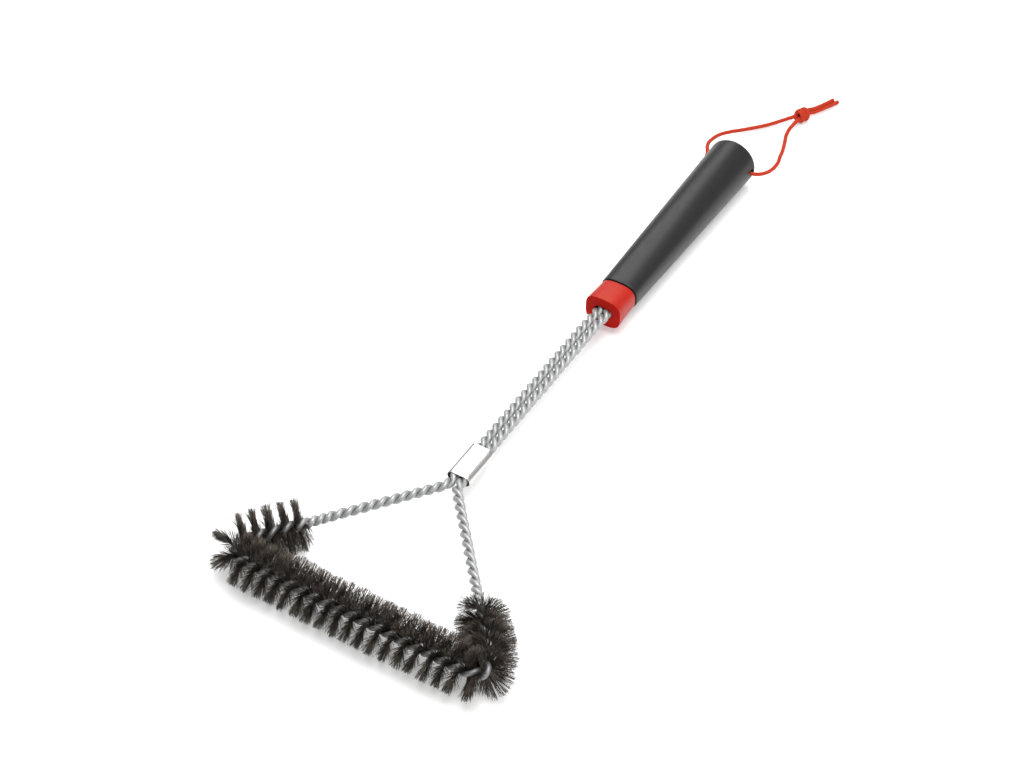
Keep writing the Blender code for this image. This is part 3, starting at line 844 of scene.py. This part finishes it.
def cord_tube(name, path, melted):
    """A braided cord along a path; melted is the length of a heat-sealed end, or 0."""
    total = lengths_along(path)[-1]

    def radius(length, angle):
        seal = np.clip((length - total + melted) / max(melted, 1e-9), 0, 1) if melted else 0 * length
        flare = 1 + 0.22 * np.sin(pi * np.clip(seal, 0, 1) ** 0.8 * 0.62) * (seal > 0)
        relief = braid(length, angle) * (1 - seal)
        return (CORD_DIAMETER / 2 - BRAID_DEPTH * BRAID_SUNK + BRAID_DEPTH * relief) * flare

    rings = tube_points(path, CORD_SIDES, radius)
    end = rings[-1]
    middle = end.mean(axis=0)
    away = unit(path[-1] - path[-2])
    caps = [middle + (end - middle) * share + away * CORD_DIAMETER * lift
            for share, lift in ((0.88, 0.07), (0.55, 0.13))]
    made = loft(name, [*rings, *caps], CORD)
    length = lengths_along(path)[:, None] + np.zeros((1, CORD_SIDES))
    angle = np.zeros((len(path), 1)) + np.arange(CORD_SIDES)[None, :] * 2 * pi / CORD_SIDES
    relief = braid(length, angle)
    seal = np.clip((length - total + melted) / max(melted, 1e-9), 0, 1) if melted else length * 0
    last = 1.0 if melted else 0.0
    float_attribute(made, "relief", np.concatenate((relief.ravel(), np.full(2 * CORD_SIDES + 2, 0.5))))
    float_attribute(made, "melt", np.concatenate((seal.ravel(), np.full(2 * CORD_SIDES, last), [0, last])))
    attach(made, "hang_loop")
    return made


KNOT_INNER_LAP = 2.4              # radius, in millimetres like the cord's route
KNOT_OUTER_LAP = 3.9
KNOT_TURN_OFFSET = 1.95
KNOT_TURN_TILT = 0.9
KNOT_TURN_ADVANCE = 1.9
KNOT_CORE_RADIUS = 1.3
KNOT_START = 1.55 * pi            # angle at which a turn leaves the core
KNOT_TURNS = -2.1                 # laps of each strand; the sign is the way they wind
KNOT_TURN_POINTS = 60
KNOT_TUCK = 0.1                   # share of a turn spent coming out of the core, or going in


def knot_turn(offset):
    """A strand's turns round the knot's core, tilted, and tucked in at both ends."""
    axis = Vector(unit(np.array(LEFT_TAIL[-1]) + RIGHT_TAIL[-1] - 2 * np.array(KNOT_CENTRE) / MM))
    sideways = axis.cross(Vector((0, 0, 1))).normalized()
    up = sideways.cross(axis)
    points = []
    for i in range(KNOT_TURN_POINTS + 1):
        t = i / KNOT_TURN_POINTS
        tuck = min(t, 1 - t) / KNOT_TUCK
        lap = KNOT_INNER_LAP + (KNOT_OUTER_LAP - KNOT_INNER_LAP) * t
        out = KNOT_CORE_RADIUS + (lap - KNOT_CORE_RADIUS) * sin(min(tuck, 1) * pi / 2)
        angle = KNOT_START + 2 * pi * KNOT_TURNS * t
        ring = (sideways * cos(angle) + up * sin(angle)) * out
        tilt = KNOT_TURN_TILT * sin(angle) + KNOT_TURN_ADVANCE * (t - 0.5)
        points.append(KNOT_CENTRE / MM + axis * (offset + tilt) + ring)
    return points


LEFT_SEAL = 1.6 * MM              # length of each tip's melted end
RIGHT_SEAL = 2.2 * MM
LEFT_CORD = smooth_route(LEFT_LEG + LEFT_TAIL, CORD_STEP)
RIGHT_CORD = smooth_route(RIGHT_LEG + RIGHT_TAIL, CORD_STEP)
left_cord = cord_tube("cord_strand_left", LEFT_CORD, LEFT_SEAL)
right_cord = cord_tube("cord_strand_right", RIGHT_CORD, RIGHT_SEAL)
turn_one = cord_tube("cord_knot_turn_one", smooth_route(knot_turn(-KNOT_TURN_OFFSET), CORD_STEP), 0)
turn_two = cord_tube("cord_knot_turn_two", smooth_route(knot_turn(KNOT_TURN_OFFSET), CORD_STEP), 0)
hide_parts("hang_cord_left", "hang_cord_tail_left")
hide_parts("hang_cord_right", "hang_cord_tail_right")
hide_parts("hang_cord_knot")


# Studio

FLOOR_GLOW = 0.28                 # the floor's own light, which softens the shadows
FLOOR_HALF = 6.0


def add_floor():
    """A plain pale surface."""
    s = Shader("studio_floor")
    s.colour(s.blend(s.noise(3, detail=2), (0.78, 0.78, 0.78), (0.80, 0.80, 0.80)))
    s.rough(s.ramp(s.noise(20), 0, 1, (0.85, 0.95)))
    s.principled.inputs["Specular IOR Level"].default_value = 0.1
    s.principled.inputs["Emission Color"].default_value = (1, 1, 1, 1)
    s.principled.inputs["Emission Strength"].default_value = FLOOR_GLOW
    corners = [(-FLOOR_HALF, -FLOOR_HALF, 0), (FLOOR_HALF, -FLOOR_HALF, 0),
               (FLOOR_HALF, FLOOR_HALF, 0), (-FLOOR_HALF, FLOOR_HALF, 0)]
    floor = mesh_object("studio_floor", corners, [(0, 1, 2, 3)], s.material, smooth=False)


def add_light(name, direction, distance, size, watts, colour=(1, 1, 1)):
    """A square soft light that looks at the brush from a direction."""
    data = bpy.data.lights.new(name, "AREA")
    data.shape = "SQUARE"
    data.size = size
    data.energy = watts
    data.color = colour
    lamp = bpy.data.objects.new(name, data)
    bpy.context.scene.collection.objects.link(lamp)
    way = Vector(direction).normalized()
    lamp.location = way * distance
    lamp.rotation_euler = way.to_track_quat("Z", "Y").to_euler()


def add_world(strength, horizon, zenith):
    """An even white surround, a little darker near the horizon."""
    world = bpy.data.worlds.new("studio")
    bpy.context.scene.world = world
    world.use_nodes = True
    tree = world.node_tree
    background = tree.nodes["Background"]
    background.inputs["Strength"].default_value = strength
    place = tree.nodes.new("ShaderNodeTexCoord")
    parts = tree.nodes.new("ShaderNodeSeparateXYZ")
    ramp = tree.nodes.new("ShaderNodeMapRange")
    ramp.inputs["From Min"].default_value = 0.0
    ramp.inputs["From Max"].default_value = 0.8
    ramp.inputs["To Min"].default_value = horizon
    ramp.inputs["To Max"].default_value = zenith
    tree.links.new(place.outputs["Generated"], parts.inputs["Vector"])
    tree.links.new(parts.outputs["Z"], ramp.inputs["Value"])
    tree.links.new(ramp.outputs["Result"], background.inputs["Color"])


add_floor()
add_light("overhead_softbox", (0.1, -0.06, 1.0), 1.2, 0.95, 17.5)
add_light("back_softbox", (-0.42, 0.62, 0.72), 1.4, 0.75, 6.5)
add_light("side_fill", (1.0, -0.1, 0.45), 1.3, 0.9, 4.6, (1.0, 0.95, 0.90))
add_world(1.0, 0.30, 0.48)
bpy.context.scene.view_settings.view_transform = "Standard"
